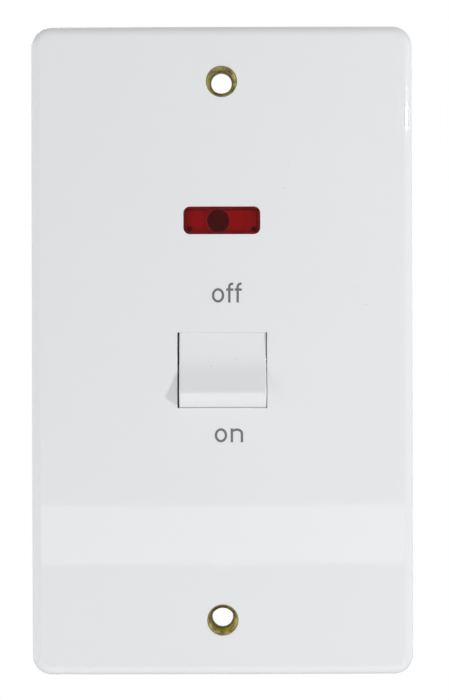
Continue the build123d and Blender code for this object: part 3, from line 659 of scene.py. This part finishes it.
# %% Letters
HOOK = 0.66
SHOULDER = 1.15


def letter_o(film, left, base, wide, tall):
    half = STROKE / 2
    oval = bend(left + wide / 2, base + tall / 2, wide / 2 - half, tall / 2 - half, 0, 360, 48)
    ink_stroke(film, oval[:-1], ring=True)


def letter_f(film, stem, base, tall, bar, bar_left, bar_right):
    half = STROKE / 2
    hook = bend(stem + HOOK, base + tall - half - HOOK, HOOK, HOOK, 180, 72, 16)
    ink_stroke(film, [(stem, base), (stem, base + tall / 2)] + hook)
    ink_stroke(film, [(stem - bar_left, base + bar), (stem - half, base + bar)])
    ink_stroke(film, [(stem + half, base + bar), (stem + bar_right, base + bar)])


def letter_n(film, left, right, base, tall):
    ink_stroke(film, [(left, base), (left, base + tall)])
    arch_top = SHOULDER - STROKE / 2
    arch = bend((left + right) / 2, base + tall - SHOULDER, (right - left) / 2, arch_top, 142, 0, 20)
    ink_stroke(film, arch + [(right, base)])


print("letters ready: o, f and n")

# %% [markdown]
# ## Printing the words
# The ink is a dull dark grey that is a little uneven, as pad printing leaves it. Each word is one piece and
# rides on the plate's body.

# %% Print the words
PLATE_BODY = "plate"
OFF_BASE = 10.79
ON_BASE = -20.46
O_WIDE = 2.76
F_TALL = 4.46
F_BAR = 2.90
ink = Finish("grey_ink", (0.15, 0.155, 0.16), 0.45)
ink.feed("Base Color", ink.mix(ink.noise(0.4 * MM, 3), (0.11, 0.115, 0.12), (0.165, 0.17, 0.175)))
ink.feed("Roughness", 0.38 + 0.15 * ink.noise(0.3 * MM, 2))


def printed_word(name, film):
    """Turns a film into a piece that rides on the plate's body."""
    bmesh.ops.recalc_face_normals(film, faces=film.faces)
    word = new_piece(name, film, ink)
    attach(word, PLATE_BODY)
    return word


off_film = bmesh.new()
letter_o(off_film, -2.27, OFF_BASE, O_WIDE, 3.22)
letter_f(off_film, 1.63, OFF_BASE, F_TALL, F_BAR, 0.68, 0.92)
letter_f(off_film, 3.50, OFF_BASE, F_TALL, F_BAR, 0.66, 0.92)
word_off = printed_word("word_off", off_film)
on_film = bmesh.new()
letter_o(on_film, -1.70, ON_BASE, O_WIDE, 3.14)
letter_n(on_film, 2.12, 4.37, ON_BASE, 3.10)
word_on = printed_word("word_on", on_film)
print("words:", len(word_off.data.polygons) + len(word_on.data.polygons), "faces, on body", PLATE_BODY)

# %% [markdown]
# ## World
# The photograph is a catalogue picture with a background that is burnt to white. Lamps bright enough to
# burn it would burn the white plate too. So the world is white only where the camera sees it, straight, in
# a mirroring face or through the window, and it lights the object with much less.

# %% World
FILL_STRENGTH = 0.39
world = bpy.data.worlds.new("studio")
bpy.context.scene.world = world
world.use_nodes = True
sky = NodeTree(world.node_tree)
fill = world.node_tree.nodes["Background"]
put(sky.tree, fill.inputs["Color"], (1, 1, 1))
put(sky.tree, fill.inputs["Strength"], FILL_STRENGTH)
seen = sky.node("Background", None, {"Color": (1, 1, 1)})
straight = sky.node("LightPath", output="Is Camera Ray")
mirrored = sky.node("LightPath", output="Is Glossy Ray")
through = sky.node("LightPath", output="Is Transmission Ray")
any_of_them = straight.or_larger(mirrored).or_larger(through)
sky.show("World Output", any_of_them, sky.own_shader("Background"), seen)
print("world's fill light:", FILL_STRENGTH)

# %% [markdown]
# ## Lamps
# A glossy plate shows every lamp as a shape, so the lamps' sizes matter as much as their strength. A
# narrow key lamp on the right draws the short glint on the upper right edge and the rocker's shadow on the
# left. A wide one from below and in front fills the face. The one under the object lights the lower wall.
# Two large ones at the sides keep the side edges from going dark. A faint strip in front makes the paler
# band in the lower part of the plate, and one lamp at the back is there for views from behind.

# %% Lamps
def softbox(name, place, target, width, height, watts):
    """A rectangular lamp at a place, turned to a target."""
    lamp = bpy.data.lights.new(name, "AREA")
    lamp.shape = "RECTANGLE"
    lamp.size = width
    lamp.size_y = height
    lamp.energy = watts
    stand = bpy.data.objects.new(name, lamp)
    stand.location = place
    stand.rotation_euler = (Vector(target) - Vector(place)).to_track_quat("-Z", "Y").to_euler()
    stand.visible_camera = False
    bpy.context.scene.collection.objects.link(stand)
    return stand


MIDDLE = (0, 0, 0)
lamps = [
    softbox("key_right", (0.583, -0.455, 0.131), MIDDLE, 0.08, 0.009, 2.1),
    softbox("fill_low", (-0.1, -1.2, -0.8), MIDDLE, 2.0, 0.8, 4.4),
    softbox("under_light", (0, -0.40, -0.85), MIDDLE, 1.7, 0.9, 2.65),
    softbox("left_wall", (-1.0, -0.22, -0.1), MIDDLE, 1.2, 1.2, 4.6),
    softbox("right_wall", (0.9, -0.3, -0.1), MIDDLE, 1.2, 1.2, 1.4),
    softbox("strip_below_lens", (0, -0.56, -0.12), (0, 0, -0.05), 0.5, 0.034, 0.06),
    softbox("back_light", (-0.5, 0.8, 0.6), MIDDLE, 0.8, 0.8, 5),
]
print("lamps:", len(lamps), "with", round(sum(lamp.data.energy for lamp in lamps), 1), "watts in all")

# %% [markdown]
# ## Floor
# The object hangs in the air in the photograph, with no floor in sight. A pale sheet far below it keeps the
# views from other sides grounded without touching the picture. It is seen partly as its own white, so that
# it stays pale under these weak lamps.

# %% Floor
FLOOR_DROP = 1100 * MM
FLOOR_HALF = 3.0
GLOW_SHARE = 0.75
floor_level = cad_box[0][2] - FLOOR_DROP
signs = ((-1, -1), (1, -1), (1, 1), (-1, 1))
floor_corners = [(x * FLOOR_HALF, y * FLOOR_HALF, floor_level) for x, y in signs]
floor_mesh = bpy.data.meshes.new("floor")
floor_mesh.from_pydata(floor_corners, [], [(0, 1, 2, 3)])
floor = bpy.data.objects.new("floor", floor_mesh)
bpy.context.scene.collection.objects.link(floor)
paper = Finish("floor_paper", (0.8, 0.8, 0.8), 0.9)
floor_mesh.materials.append(paper.material)
glow = paper.node("Emission", None, {"Color": (1, 1, 1)})
seen_share = paper.node("LightPath", output="Is Camera Ray") * GLOW_SHARE
paper.show("Material Output", seen_share, paper.own_shader("Principled BSDF"), glow)
print("floor at", round(floor_level / MM, 1), "mm")
